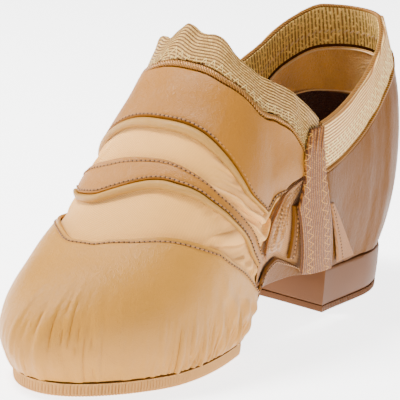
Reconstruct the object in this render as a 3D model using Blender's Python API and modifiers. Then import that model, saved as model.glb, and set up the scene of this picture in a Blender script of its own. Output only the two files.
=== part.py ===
"""Slip-on split-sole dance shoe, left foot: leather bands, stretch inserts and elastics.

Metres, +X to the toe, +Y to the outer (lateral) side, +Z up.  The origin lies on
the ground under the middle of the heel.  The upper is built from patches of one
foot form: every patch is a grid of points found on the form, set outward or
inward by its layer, and thickened.
"""
import bmesh
import bpy
import numpy as np

# ---- driving dimensions (metres) -------------------------------------------
LENGTH = 0.220              # heel back to toe tip, of the foot form
BALL_WIDTH = 0.073          # across the ball, of the foot form
INSTEP_HEIGHT = 0.116       # ground to the throat's top on the ridge
COLLAR_HEIGHT = 0.111       # ground to the back of the collar
HEEL_HEIGHT = 0.018         # heel block with its top piece
TOP_PIECE = 0.0030          # ribbed layer under the heel block
SOLE_THICKNESS = 0.0050     # front outsole
LEATHER = 0.0012            # leather of the upper
FABRIC = 0.0008             # stretch fabric, linings and socks
MESH = 0.0006               # gusset mesh
ELASTIC = 0.0010            # woven elastic
LIP = 0.0020                # rolled lip of a leather band
PIPING = 0.0016             # edge cord of the elastics
BOARD = 0.0020              # insole boards
STRAP_WIDTH = 0.0230        # side strap at its foot
STRAP_NECK = 0.0120         # side strap at the junction
LIP_WIDTH = 0.0022          # rolled lip, measured along the foot
SEAM_LAP = 0.0026           # how far an insert runs under a leather edge

# ---- clearances (metres) ----------------------------------------------------
GAP = 0.0006                # between stacked layers and butted edges
REST_GAP = 0.0003           # between the upper and what it stands on

# ---- layers, measured outward from the foot form (metres) --------------------
LINING_AT = -(GAP + FABRIC) + 0.0001
INSERT_AT = 0.0001
LEATHER_AT = INSERT_AT + FABRIC + GAP
STRAP_AT = LEATHER_AT + LEATHER + GAP

# ---- plan and profile of the form, as fractions ------------------------------
HEEL_CENTRE = 0.141         # origin, from the heel back, of LENGTH
BREAST = 0.300              # front face of the heel block, of LENGTH
SOLE_REAR = 0.590           # rear edge of the front outsole, of LENGTH
HALF_WIDTH = ((0, .365), (.12, .375), (.25, .39), (.40, .425), (.50, .42), (.55, .42), (.60, .45),
              (.70, .47), (.78, .47), (.86, .44), (.94, .40), (1, .37))
CENTRE = ((0, 0), (.25, 0), (.45, .02), (.62, .035), (.75, .048), (.86, .045), (1, .03))
RIDGE = ((0, 1.14), (.15, 1.16), (.40, 1.32), (.44, 1.32), (.49, 1.21), (.536, 1.07),
         (.573, .965), (.61, .880), (.66, .758), (.705, .650), (.777, .486), (.864, .370),
         (.932, .320), (1, .284))
WIDEST = ((0, .053), (.30, .055), (.45, .058), (.60, .034), (.75, .024), (.90, .020),
          (1, .018))
TUCK = ((0, .17), (.30, .17), (.48, .28), (.55, .32), (.61, .16), (.75, .12), (1, .10))
CROWN = ((0, 2.0), (.45, 2.3), (.60, 2.45), (.75, 2.3), (1, 2.3))

# ---- edges of the front bands: ((angle from the ridge, place along LENGTH), ...), and
# ---- how far the edge leans to the toe on the inner side
TOE_EDGE = (((0, .836), (10, .832), (21, .826), (44, .783), (66, .716), (80, .652), (99, .592)),
            .016)
MID_LOWER = (((0, .753), (20, .753), (38, .738), (50, .708), (64, .656), (82, .603)), .022)
MID_UPPER = (((0, .713), (20, .711), (38, .697), (51, .664), (62, .624), (75, .594)), .008)
INSTEP_LOWER = (((0, .679), (21, .673), (42, .646), (54, .586), (65, .524)), .004)
PIPING_LINE = (((0, .609), (10, .607), (21, .586), (33, .536), (50, .468), (61, .450)), .0)
THROAT = (((0, .565), (9, .566), (16, .556), (27, .511), (40, .420)), .0)

# ---- heel and collar: tables run round the heel, 0 at the back, 1 at the front ----
HEEL_AXIS = 0.164           # upright axis of the heel's grid, of LENGTH
HEEL_FRONT = (.314, .404)   # front edge of the quarter, low and high, of LENGTH
RIM = ((0, 1.0), (.25, 1.0), (.50, .950), (.75, .855), (1, .735))   # of COLLAR_HEIGHT
WEB_FOOT = ((0, .875), (.5, .825), (.8, .752), (1, .715))   # of the way up to the rim


PART_NAME = "split_sole_dance_shoe"


def smooth_table(table):
    """A monotone cubic through the table's points."""
    x = np.array([p[0] for p in table], float)
    y = np.array([p[1] for p in table], float)
    step = np.diff(x)
    slope = np.diff(y) / step
    tangent = np.zeros_like(y)
    tangent[-1] = slope[-1]
    for i in range(1, len(x) - 1):
        if slope[i - 1] * slope[i] > 0:
            a = 2 * step[i] + step[i - 1]
            b = step[i] + 2 * step[i - 1]
            tangent[i] = (a + b) / (a / slope[i - 1] + b / slope[i])

    def value(at):
        at = np.clip(np.asarray(at, float), x[0], x[-1])
        i = np.clip(np.searchsorted(x, at) - 1, 0, len(step) - 1)
        t = (at - x[i]) / step[i]
        lift = step[i] * t * (1 - t) ** 2 * tangent[i]
        fall = step[i] * t * t * (t - 1) * tangent[i + 1]
        return y[i] * (1 + 2 * t) * (1 - t) ** 2 + y[i + 1] * t * t * (3 - 2 * t) + lift + fall
    return value


half_width = smooth_table(HALF_WIDTH)
centre = smooth_table(CENTRE)
ridge_height = smooth_table(RIDGE)
widest_height = smooth_table(WIDEST)
tuck_under = smooth_table(TUCK)
crown_power = smooth_table(CROWN)
rim_height = smooth_table(RIM)
seat_height = smooth_table(((0, HEEL_HEIGHT), (.30, HEEL_HEIGHT), (.36, HEEL_HEIGHT + .0012),
                            (.43, HEEL_HEIGHT + .0035), (.50, HEEL_HEIGHT + .0030),
                            (.545, HEEL_HEIGHT * .58 + SOLE_THICKNESS),
                            (.570, SOLE_THICKNESS + .0036), (.586, SOLE_THICKNESS),
                            (1, SOLE_THICKNESS)))


# ---- the foot form -----------------------------------------------------------
def along(x):
    return x / LENGTH + HEEL_CENTRE


def to_x(fraction):
    return (fraction - HEEL_CENTRE) * LENGTH


def rounded(distance, radius, power):
    """Width factor near an end: 0 at the end, 1 from one radius inward."""
    q = np.clip(distance / radius, 0, 1)
    return np.maximum(1 - (1 - q) ** power, 0) ** (1 / power)


def heel_back(z):
    """How far the back of the heel stands forward of its fullest place."""
    reach = COLLAR_HEIGHT * .43
    return .0025 + np.where(z > reach, 2.9, 3.6) * (z - reach) ** 2


def inside_form(points):
    x, y, z = points[..., 0], points[..., 1], points[..., 2]
    f = along(x)
    seat = seat_height(f)
    wide = widest_height(f)
    top = ridge_height(f) * INSTEP_HEIGHT
    top = wide + (top - wide) * rounded((1 - f) * LENGTH, LENGTH * .118, 2.2)
    low = np.clip((wide - z) / (wide - seat), 0, 1.5)
    front = LENGTH - np.where(z < wide, .007 * low ** 2, 0)
    high = np.clip((z - wide) / np.maximum(top - wide, 1e-6), 0, 1)
    power = crown_power(f)
    upper = np.maximum(1 - high ** power, 0) ** (1 / power)
    lower = 1 - tuck_under(f) * low ** 2.2
    reach = half_width(f) * BALL_WIDTH * np.where(z > wide, upper, lower)
    back = heel_back(z)
    u = f * LENGTH
    reach = reach * rounded(u - back, BALL_WIDTH * .40, 2.1)
    reach = reach * rounded(front - u, BALL_WIDTH * .80, 2.15)
    side = np.abs(y - centre(f) * BALL_WIDTH)
    return (u > back) & (u < front) & (z < top) & (z > seat) & (side < reach)


def cast(origin, direction):
    """Where rays from inside leave the form."""
    direction = direction / np.linalg.norm(direction, axis=-1, keepdims=True)
    near = np.zeros(direction.shape[:-1])
    far = np.full(direction.shape[:-1], LENGTH * 1.2)
    for _ in range(36):
        middle = (near + far) / 2
        hit = inside_form(origin + direction * middle[..., None])
        near = np.where(hit, middle, near)
        far = np.where(hit, far, middle)
    return origin + direction * near[..., None]


def spine(fraction):
    seat = seat_height(fraction)
    rise = np.minimum(.4 * (ridge_height(fraction) * INSTEP_HEIGHT - seat), .23 * INSTEP_HEIGHT)
    return np.stack([to_x(fraction), centre(fraction) * BALL_WIDTH, seat + rise], -1)


def on_section(fraction, angle):
    """Point of the form at one place along it, by angle from the ridge (degrees)."""
    angle = np.radians(angle)
    ray = np.stack([np.zeros_like(angle), np.sin(angle), np.cos(angle)], -1)
    return cast(spine(fraction), ray)


def on_side(fraction, z, side):
    """Point of the form's side at one place along it and one height."""
    origin = np.stack([to_x(fraction), centre(fraction) * BALL_WIDTH, z], -1)
    ray = np.zeros_like(origin)
    ray[..., 1] = side
    return cast(origin, ray)


def edge_at(edge, t):
    """Place and angle of a band's edge; t runs -1 medial to 1 lateral."""
    table, lean = edge
    angle = t * table[-1][0]
    sway = lean * np.sin(np.pi * np.clip(angle / 72, -1, 1))
    return smooth_table(table)(np.abs(angle)) - sway, angle


def band_end(edge, ahead=0.0, above=0.0):
    """Place and rise of a band edge's outer end, with an allowance."""
    place, angle = edge_at(edge, np.array(1.0))
    end = on_section(place, angle)
    seat = seat_height(place)
    rise = (end[2] - seat) / (COLLAR_HEIGHT - seat)
    return float(place) + ahead, float(rise) + above


def band_points(rear, front, columns, rows, rear_shift=0.0, front_shift=0.0):
    """Grid between two band edges; shifts are metres toward the toe, less at the ends."""
    t = np.linspace(-1, 1, columns)[None, :]
    taper = 1 - .8 * np.abs(t) ** 3
    s = np.linspace(0, 1, rows)[:, None]
    rear_f, rear_a = edge_at(rear, t)
    front_f, front_a = edge_at(front, t)
    rear_f = rear_f + taper * rear_shift / LENGTH
    front_f = front_f + taper * front_shift / LENGTH
    return on_section(rear_f + (front_f - rear_f) * s, rear_a + (front_a - rear_a) * s)


def toe_points(columns, rows, top_shift, foot):
    """Grid from the toe line down to the feather edge above the outsole."""
    t = np.linspace(-1, 1, columns)
    top_f, top_a = edge_at(TOE_EDGE, t)
    top = on_section(top_f + top_shift / LENGTH, top_a)
    middle = np.array([to_x(.69), 0.0, SOLE_THICKNESS + .012])
    turn = t * np.radians(128)
    flat = np.stack([np.cos(turn), np.sin(turn), np.zeros_like(turn)], -1)
    low = cast(np.array([middle[0], middle[1], foot]), flat)
    rear_limit = to_x(SOLE_REAR) + .001
    low[:, 0] = np.maximum(low[:, 0], rear_limit)
    low = on_side(along(low[:, 0]), np.full(columns, foot), 1) * (turn > 2)[:, None] \
        + low * (turn <= 2)[:, None]
    a = top - middle
    b = low - middle
    a = a / np.linalg.norm(a, axis=-1, keepdims=True)
    b = b / np.linalg.norm(b, axis=-1, keepdims=True)
    arc = np.arccos(np.clip((a * b).sum(-1), -1, 1))[None, :, None]
    s = np.linspace(0, 1, rows)[:, None, None]
    ray = (np.sin((1 - s) * arc) * a[None] + np.sin(s * arc) * b[None]) / np.sin(arc)
    points = cast(middle, ray)
    points[0] = top
    points[-1] = low
    return points


def heel_points(columns, rows, low, high, reach=1.0):
    """Grid round the heel; low and high are fractions of the way up to the rim, or tables."""
    v = np.linspace(-reach, reach, columns)[None, :]
    row = np.linspace(0, 1, rows)[:, None]
    low = smooth_table(low)(np.abs(v)) if isinstance(low, tuple) else low
    high = smooth_table(high)(np.abs(v)) if isinstance(high, tuple) else high
    s = low + (high - low) * row
    floor = HEEL_HEIGHT + REST_GAP + .0010
    z = floor + s * (rim_height(np.abs(v)) * COLLAR_HEIGHT - floor)
    place = HEEL_FRONT[0] + (HEEL_FRONT[1] - HEEL_FRONT[0]) * s ** .7
    axis = to_x(HEEL_AXIS)
    front = np.arctan2(half_width(place) * BALL_WIDTH, to_x(place) - axis)
    angle = np.pi + v * (np.pi - front)
    origin = np.stack([np.full_like(z, axis), np.zeros_like(z), z], -1)
    ray = np.stack([np.cos(angle), np.sin(angle), np.zeros_like(z)], -1)
    return cast(origin, ray)


def below(table, by):
    """The same table, lowered."""
    return tuple((at, value - by) for at, value in table)


def side_points(path, side, columns, rows):
    """Grid on the form's side.

    path: rows of (front place, front rise, rear place, rear rise), a rise being the
    way up from the form's seat (0) to the collar (1).
    """
    path = np.array(path, float)
    at = np.linspace(0, 1, rows)
    knots = np.linspace(0, 1, len(path))
    row = [np.interp(at, knots, path[:, i]) for i in range(4)]
    t = np.linspace(0, 1, columns)[None, :]
    f = row[0][:, None] * (1 - t) + row[2][:, None] * t
    rise = row[1][:, None] * (1 - t) + row[3][:, None] * t
    seat = seat_height(f)
    return on_side(f, seat + rise * (COLLAR_HEIGHT - seat), side)


# ---- building ----------------------------------------------------------------
def clear_scene():
    for obj in list(bpy.data.objects):
        bpy.data.objects.remove(obj, do_unlink=True)


def make_material(name, colour, roughness, metallic=0.0):
    material = bpy.data.materials.new(name)
    material.use_nodes = True
    shader = material.node_tree.nodes["Principled BSDF"]
    shader.inputs["Base Color"].default_value = (*colour, 1.0)
    shader.inputs["Roughness"].default_value = roughness
    shader.inputs["Metallic"].default_value = metallic
    return material


def add_object(name, bm, parts, look):
    mesh = bpy.data.meshes.new(name)
    bm.to_mesh(mesh)
    bm.free()
    obj = bpy.data.objects.new(name, mesh)
    parts.objects.link(obj)
    mesh.materials.append(make_material(name, *look))
    return obj


def grid_normals(points):
    rows = np.gradient(points, axis=0)
    columns = np.gradient(points, axis=1)
    normal = np.cross(columns, rows)
    return normal / np.linalg.norm(normal, axis=-1, keepdims=True)


def add_patch(name, points, layer, thickness, parts, look, outward=None):
    """A patch of the form, set out by its layer and thickened outward."""
    middle = points.mean(axis=(0, 1))
    if outward is None:
        outward = points - np.array([middle[0], 0.0, min(middle[2], .04)])
    normal = grid_normals(points)
    if (outward * normal).sum() < 0:
        points = points[:, ::-1]
        normal = grid_normals(points)
    points = points + normal * layer
    rows, columns = points.shape[:2]
    bm = bmesh.new()
    grid = bmesh.ops.create_grid(bm, x_segments=columns - 1, y_segments=rows - 1, size=1.0)
    order = sorted(grid["verts"], key=lambda v: (round(v.co.y, 5), round(v.co.x, 5)))
    for vert, place in zip(order, points.reshape(-1, 3)):
        vert.co = place
    obj = add_object(name, bm, parts, look)
    shell = obj.modifiers.new("thickness", "SOLIDIFY")
    shell.thickness = thickness
    shell.offset = 1.0
    return obj


def plan_outline(fraction, z, rear, front, grow, count):
    """Points round the form at one height, grown outward and cut off square."""
    middle = float(centre(np.array(fraction))) * BALL_WIDTH
    origin = np.array([to_x(fraction), middle, z])

    def reach_at(angle):
        ray = np.stack([np.cos(angle), np.sin(angle), np.zeros_like(angle)], -1)
        full = np.linalg.norm(cast(origin, ray) - origin, axis=-1) + grow
        limit = np.where(ray[:, 0] > 0, to_x(front), to_x(rear)) - origin[0]
        cut = limit / np.where(np.abs(ray[:, 0]) < 1e-6, 1e-6, ray[:, 0])
        cut = np.where(cut > 0, cut, 9)
        return ray, full, cut

    fine = np.linspace(0, 2 * np.pi, 1440, endpoint=False)
    ray, full, cut = reach_at(fine)
    corner = fine[(cut < full) != (np.roll(cut, 1) < np.roll(full, 1))]
    angles = []
    for start, end in zip(corner, np.append(corner[1:], corner[0] + 2 * np.pi)):
        middle = reach_at(np.array([(start + end) / 2]))
        pieces = 3 if middle[2][0] < middle[1][0] else count
        angles.append(np.linspace(start, end, pieces, endpoint=False))
    ray, full, cut = reach_at(np.concatenate(angles))
    return (origin + ray * np.minimum(full, cut)[:, None])[:, :2]


def add_slab(name, outline, levels, parts, look):
    """Stacked copies of one outline: each level is (height, inset)."""
    middle = outline.mean(axis=0)
    bm = bmesh.new()
    rings = []
    for z, inset in levels:
        spread = outline - middle
        length = np.linalg.norm(spread, axis=-1, keepdims=True)
        ring = middle + spread * (length - inset) / length
        rings.append([bm.verts.new((x, y, z)) for x, y in ring])
    count = len(outline)
    for lower, upper in zip(rings, rings[1:]):
        for i in range(count):
            j = (i + 1) % count
            bm.faces.new((lower[i], lower[j], upper[j], upper[i]))
    bm.faces.new(rings[0][::-1])
    bm.faces.new(rings[-1])
    bmesh.ops.recalc_face_normals(bm, faces=bm.faces)
    return add_object(name, bm, parts, look)


def arch_points(rear, front, inset, columns, rows):
    """Grid over the arch, following the form's seat."""
    f = np.linspace(rear, front, rows)[:, None]
    t = np.linspace(-1, 1, columns)[None, :]
    wide = half_width(f) * BALL_WIDTH * (1 - tuck_under(f)) - inset
    y = centre(f) * BALL_WIDTH + t * wide
    return np.stack([to_x(f) + 0 * y, y, seat_height(f) + 0 * y], -1)


# ---- looks: colour, roughness -------------------------------------------------
LEATHER_LOOK = ((.58, .36, .20), .42)
PANEL_LOOK = ((.52, .31, .17), .45)
QUARTER_LOOK = ((.42, .25, .14), .45)
STRETCH_LOOK = ((.74, .50, .33), .80)
ELASTIC_LOOK = ((.50, .37, .20), .50)
STRAP_LOOK = ((.48, .29, .17), .60)
GOLD_LOOK = ((.40, .20, .05), .35)
MESH_LOOK = ((.38, .25, .15), .75)
TAPE_LOOK = ((.47, .30, .19), .80)
SUEDE_LOOK = ((.36, .15, .05), .90)
LINING_LOOK = ((.45, .28, .15), .85)
RIBBED_LOOK = ((.40, .20, .04), .55)
RUBBER_LOOK = ((.50, .29, .17), .60)
TREAD_LOOK = ((.58, .36, .20), .70)
BOARD_LOOK = ((.30, .20, .12), .90)


def build_heel(parts):
    floor = HEEL_HEIGHT + REST_GAP
    heel = plan_outline(.16, floor + .0005, 0 - .1, BREAST, LEATHER_AT + LEATHER + .0004, 44)
    add_slab("heel_top_piece", heel, ((0, .0010), (.0006, .0004),
             (TOP_PIECE - REST_GAP, .0004)), parts, TREAD_LOOK)
    add_slab("heel_block", heel, ((TOP_PIECE, .0006), (HEEL_HEIGHT - .0012, .0),
             (HEEL_HEIGHT, .0008)), parts, RUBBER_LOOK)
    inner = plan_outline(.16, floor + .0005, -.1, BREAST + .012, LINING_AT - .0014, 36)
    board_top = floor + BOARD
    add_slab("heel_insole_board", inner, ((floor, 0), (board_top, 0)), parts, BOARD_LOOK)
    add_slab("heel_sock", inner, ((board_top + REST_GAP, .0005),
             (board_top + REST_GAP + FABRIC, .0005)), parts, LINING_LOOK)
    add_patch("heel_counter", heel_points(19, 4, .01, .52, .78), INSERT_AT, FABRIC,
              parts, BOARD_LOOK)
    add_patch("heel_quarter", heel_points(27, 7, 0, below(WEB_FOOT, .030)), LEATHER_AT, LEATHER,
              parts, QUARTER_LOOK)
    add_patch("quarter_lining", heel_points(25, 5, .005, .46), LINING_AT, FABRIC,
              parts, LINING_LOOK)
    add_patch("heel_grip", heel_points(27, 4, .468, below(WEB_FOOT, .052)), LINING_AT, FABRIC,
              parts, SUEDE_LOOK)
    add_patch("collar_lining", heel_points(27, 4, below(WEB_FOOT, .040), .995), INSERT_AT, FABRIC,
              parts, RIBBED_LOOK)
    add_patch("collar_piping", heel_points(27, 2, below(WEB_FOOT, .023), below(WEB_FOOT, .007)),
              LEATHER_AT, PIPING, parts, GOLD_LOOK)
    add_patch("collar_elastic", heel_points(27, 4, WEB_FOOT, 1.0), LEATHER_AT, ELASTIC,
              parts, ELASTIC_LOOK)


def build_forefoot(parts):
    ground = SOLE_THICKNESS + REST_GAP
    sole = plan_outline(.76, ground + .0005, SOLE_REAR, 2.0, LEATHER_AT + LEATHER, 60)
    add_slab("forefoot_outsole", sole, ((0, .0016), (.0008, .0006),
             (SOLE_THICKNESS, 0)), parts, TREAD_LOOK)
    inner = plan_outline(.76, ground + .0005, SOLE_REAR + .012, 2.0, LINING_AT - .0016, 44)
    board_top = ground + BOARD * .6
    add_slab("forefoot_insole_board", inner, ((ground, 0), (board_top, 0)), parts, BOARD_LOOK)
    add_slab("forefoot_sock", inner, ((board_top + REST_GAP, 0),
             (board_top + REST_GAP + FABRIC, 0)), parts, LINING_LOOK)
    foot = ground + .0016
    add_patch("toe_vamp", toe_points(27, 8, 0, foot), LEATHER_AT, LEATHER, parts, LEATHER_LOOK)
    add_patch("toe_lining", toe_points(27, 6, .0006, foot - .0010), LINING_AT, FABRIC,
              parts, LINING_LOOK)
    add_patch("vamp_lining", band_points(THROAT, TOE_EDGE, 27, 8, .003, -.001),
              LINING_AT, FABRIC, parts, LINING_LOOK)
    add_patch("lower_stretch_insert",
              band_points(MID_LOWER, TOE_EDGE, 27, 5, -SEAM_LAP, SEAM_LAP),
              INSERT_AT, FABRIC, parts, STRETCH_LOOK)
    add_patch("mid_band_lip", band_points(MID_LOWER, MID_LOWER, 27, 2, -LIP_WIDTH, 0),
              LEATHER_AT, LIP, parts, LEATHER_LOOK)
    add_patch("mid_band",
              band_points(MID_UPPER, MID_LOWER, 27, 3, 0, -LIP_WIDTH - GAP),
              LEATHER_AT, LEATHER, parts, PANEL_LOOK)
    add_patch("upper_stretch_insert",
              band_points(INSTEP_LOWER, MID_UPPER, 27, 4, -SEAM_LAP, SEAM_LAP * .5),
              INSERT_AT, FABRIC, parts, STRETCH_LOOK)
    add_patch("instep_lip", band_points(INSTEP_LOWER, INSTEP_LOWER, 27, 2, -LIP_WIDTH, 0),
              LEATHER_AT, LIP, parts, LEATHER_LOOK)
    add_patch("instep_panel",
              band_points(PIPING_LINE, INSTEP_LOWER, 27, 7, GAP, -LIP_WIDTH - GAP * 1.6),
              LEATHER_AT, LEATHER, parts, PANEL_LOOK)
    add_patch("instep_piping", band_points(PIPING_LINE, PIPING_LINE, 27, 2, -PIPING, 0),
              LEATHER_AT, PIPING, parts, GOLD_LOOK)
    add_patch("instep_elastic",
              band_points(THROAT, PIPING_LINE, 27, 4, 0, -PIPING - GAP),
              LEATHER_AT, ELASTIC, parts, ELASTIC_LOOK)


def strip(*stations):
    """Path of a strip through stations ((place, rise), width in metres)."""
    rows = []
    for (place, rise), width in stations:
        half = width / LENGTH / 2
        rows.append((place + half, rise, place - half, rise))
    return rows


def side_paths():
    """Paths of the pieces that cross the arch, each a list of rows for side_points."""
    edge = SOLE_REAR - .008
    top = band_end(PIPING_LINE, -.010, .070)
    piping = band_end(PIPING_LINE, -.003, -.014)
    instep = band_end(INSTEP_LOWER, -.006, -.014)
    middle = band_end(MID_UPPER, 0, -.016)
    gusset = [(*top, .420, .540), (*piping, .412, .500), (*instep, .374, .410),
              (edge, middle[1], .360, .302), (edge, .207, .345, .170), (edge, .012, .318, .017)]
    flap = [(piping[0], piping[1] - .003, .456, .440), (instep[0], instep[1] - .003, .503, .345),
            (edge - .004, middle[1] - .006, .498, .225), (edge - .018, .260, .498, .165)]
    trim = [(edge - .004, .225, .412, .050), (edge - .004, .014, .390, .012)]
    rear = STRAP_WIDTH / LENGTH / 2
    strap = [((.440, .560), STRAP_NECK * 1.12), ((.433, .445), STRAP_NECK * 1.30),
             ((.429, .345), STRAP_WIDTH), ((.392, .190), STRAP_WIDTH), ((.352, .024), STRAP_WIDTH)]
    return {"mesh_gusset": gusset, "mesh_flap": flap, "arch_trim": trim,
            "strap_binding": strip(((.478, .362), .0036), ((.446, .112), .0050)),
            "rear_tape": strip(((.4183 - rear, .335), .0030), ((.2993 - rear, .040), .0140)),
            "side_strap": strip(*strap)}


def build_sides(parts):
    edge = SOLE_REAR - .008
    paths = side_paths()
    for side, word in ((1, "lateral"), (-1, "medial")):
        def patch(name, columns, rows, layer, thickness, look):
            points = side_points(paths[name], side, columns, rows)
            add_patch(name + "_" + word, points, layer, thickness, parts, look)

        patch("mesh_gusset", 7, 9, INSERT_AT, MESH, MESH_LOOK)
        patch("mesh_flap", 5, 7, LEATHER_AT, MESH, MESH_LOOK)
        patch("arch_trim", 7, 3, LEATHER_AT, LEATHER, QUARTER_LOOK)
        patch("strap_binding", 2, 5, LEATHER_AT, LEATHER, QUARTER_LOOK)
        patch("rear_tape", 3, 7, STRAP_AT, FABRIC, TAPE_LOOK)
        patch("side_strap", 3, 9, STRAP_AT, ELASTIC, STRAP_LOOK)
    up = np.array([0.0, 0.0, 1.0])
    add_patch("arch_panel", arch_points(.3155, edge - .004, .0010, 5, 9), REST_GAP, LEATHER, parts,
              QUARTER_LOOK, up)
    add_patch("arch_sock", arch_points(.3195, edge - .004, .0034, 5, 9), REST_GAP * 2 + LEATHER, FABRIC,
              parts, LINING_LOOK, up)


def build():
    clear_scene()
    parts = bpy.data.collections.new(PART_NAME)
    bpy.context.scene.collection.children.link(parts)
    build_heel(parts)
    build_forefoot(parts)
    build_sides(parts)


build()
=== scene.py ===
"""Looks of the slip-on split-sole dance shoe: the same foot form as the parts, at full detail."""

import bpy
import numpy as np
from mathutils import Matrix, Vector


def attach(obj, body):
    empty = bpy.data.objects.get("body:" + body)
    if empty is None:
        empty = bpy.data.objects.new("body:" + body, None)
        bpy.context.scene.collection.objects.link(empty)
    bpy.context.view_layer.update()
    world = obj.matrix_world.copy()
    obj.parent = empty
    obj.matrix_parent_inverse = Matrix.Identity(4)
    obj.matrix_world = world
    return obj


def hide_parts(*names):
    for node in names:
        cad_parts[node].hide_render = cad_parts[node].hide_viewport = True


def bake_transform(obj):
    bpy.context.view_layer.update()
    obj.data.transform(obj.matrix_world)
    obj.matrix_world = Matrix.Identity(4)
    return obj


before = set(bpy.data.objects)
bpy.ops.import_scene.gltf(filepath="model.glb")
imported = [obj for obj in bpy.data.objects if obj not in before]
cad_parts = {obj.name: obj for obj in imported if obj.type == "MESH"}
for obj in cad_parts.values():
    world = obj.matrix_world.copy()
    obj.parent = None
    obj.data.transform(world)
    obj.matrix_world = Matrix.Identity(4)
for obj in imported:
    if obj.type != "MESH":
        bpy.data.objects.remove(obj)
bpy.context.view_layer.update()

# ---- driving dimensions (metres) -------------------------------------------
LENGTH = 0.220              # heel back to toe tip, of the foot form
BALL_WIDTH = 0.073          # across the ball, of the foot form
INSTEP_HEIGHT = 0.116       # ground to the throat's top on the ridge
COLLAR_HEIGHT = 0.111       # ground to the back of the collar
HEEL_HEIGHT = 0.018         # heel block with its top piece
TOP_PIECE = 0.0030          # ribbed layer under the heel block
SOLE_THICKNESS = 0.0050     # front outsole
LEATHER = 0.0012            # leather of the upper
FABRIC = 0.0008             # stretch fabric, linings and socks
MESH = 0.0006               # gusset mesh
ELASTIC = 0.0010            # woven elastic
LIP = 0.0020                # rolled lip of a leather band
PIPING = 0.0016             # edge cord of the elastics
BOARD = 0.0020              # insole boards
STRAP_WIDTH = 0.0230        # side strap at its foot
STRAP_NECK = 0.0120         # side strap at the junction
LIP_WIDTH = 0.0022          # rolled lip, measured along the foot
SEAM_LAP = 0.0026           # how far an insert runs under a leather edge

# ---- clearances (metres) ----------------------------------------------------
GAP = 0.0006                # between stacked layers and butted edges
REST_GAP = 0.0003           # between the upper and what it stands on

# ---- layers, measured outward from the foot form (metres) --------------------
LINING_AT = -(GAP + FABRIC) + 0.0001
INSERT_AT = 0.0001
LEATHER_AT = INSERT_AT + FABRIC + GAP
LEATHER_FACE = LEATHER_AT + LEATHER
STRAP_AT = LEATHER_FACE + GAP
BAND_LEATHER = LEATHER * 1.15   # thickness of the middle band and instep panel

# ---- plan and profile of the form, as fractions ------------------------------
HEEL_CENTRE = 0.141         # origin, from the heel back, of LENGTH
BREAST = 0.300              # front face of the heel block, of LENGTH
SOLE_REAR = 0.590           # rear edge of the front outsole, of LENGTH
HALF_WIDTH = ((0, .365), (.12, .375), (.25, .39), (.40, .425), (.50, .42), (.55, .42), (.60, .45),
              (.70, .47), (.78, .47), (.86, .44), (.94, .40), (1, .37))
CENTRE = ((0, 0), (.25, 0), (.45, .02), (.62, .035), (.75, .048), (.86, .045), (1, .03))
RIDGE = ((0, 1.14), (.15, 1.16), (.40, 1.32), (.44, 1.32), (.49, 1.21), (.536, 1.07),
         (.573, .965), (.61, .880), (.66, .758), (.705, .650), (.777, .486), (.864, .370),
         (.932, .320), (1, .284))
WIDEST = ((0, .053), (.30, .055), (.45, .058), (.60, .034), (.75, .024), (.90, .020),
          (1, .018))
TUCK = ((0, .17), (.30, .17), (.48, .28), (.55, .32), (.61, .16), (.75, .12), (1, .10))
CROWN = ((0, 2.0), (.45, 2.3), (.60, 2.45), (.75, 2.3), (1, 2.3))

# ---- edges of the front bands: ((angle from the ridge, place along LENGTH), ...), and
# ---- how far the edge leans to the toe on the inner side
TOE_EDGE = (((0, .836), (10, .832), (21, .826), (44, .783), (66, .716), (80, .652), (99, .592)),
            .016)
MID_LOWER = (((0, .753), (20, .753), (38, .738), (50, .708), (64, .656), (82, .603)), .022)
MID_UPPER = (((0, .713), (20, .711), (38, .697), (51, .664), (62, .624), (75, .594)), .008)
INSTEP_LOWER = (((0, .679), (21, .673), (42, .646), (54, .586), (65, .524)), .004)
PIPING_LINE = (((0, .609), (10, .607), (21, .586), (33, .536), (50, .468), (61, .450)), .0)
THROAT = (((0, .565), (9, .566), (16, .556), (27, .511), (40, .420)), .0)

# ---- heel and collar: tables run round the heel, 0 at the back, 1 at the front ----
HEEL_AXIS = 0.164           # upright axis of the heel's grid, of LENGTH
HEEL_FRONT = (.314, .404)   # front edge of the quarter, low and high, of LENGTH
RIM = ((0, 1.0), (.25, 1.0), (.50, .950), (.75, .855), (1, .735))   # of COLLAR_HEIGHT
WEB_FOOT = ((0, .875), (.5, .825), (.8, .752), (1, .715))   # of the way up to the rim


def smooth_table(table):
    """A monotone cubic through the table's points."""
    x = np.array([p[0] for p in table], float)
    y = np.array([p[1] for p in table], float)
    step = np.diff(x)
    slope = np.diff(y) / step
    tangent = np.zeros_like(y)
    tangent[-1] = slope[-1]
    for i in range(1, len(x) - 1):
        if slope[i - 1] * slope[i] > 0:
            a = 2 * step[i] + step[i - 1]
            b = step[i] + 2 * step[i - 1]
            tangent[i] = (a + b) / (a / slope[i - 1] + b / slope[i])

    def value(at):
        at = np.clip(np.asarray(at, float), x[0], x[-1])
        i = np.clip(np.searchsorted(x, at) - 1, 0, len(step) - 1)
        t = (at - x[i]) / step[i]
        lift = step[i] * t * (1 - t) ** 2 * tangent[i]
        fall = step[i] * t * t * (t - 1) * tangent[i + 1]
        return y[i] * (1 + 2 * t) * (1 - t) ** 2 + y[i + 1] * t * t * (3 - 2 * t) + lift + fall
    return value


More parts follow.
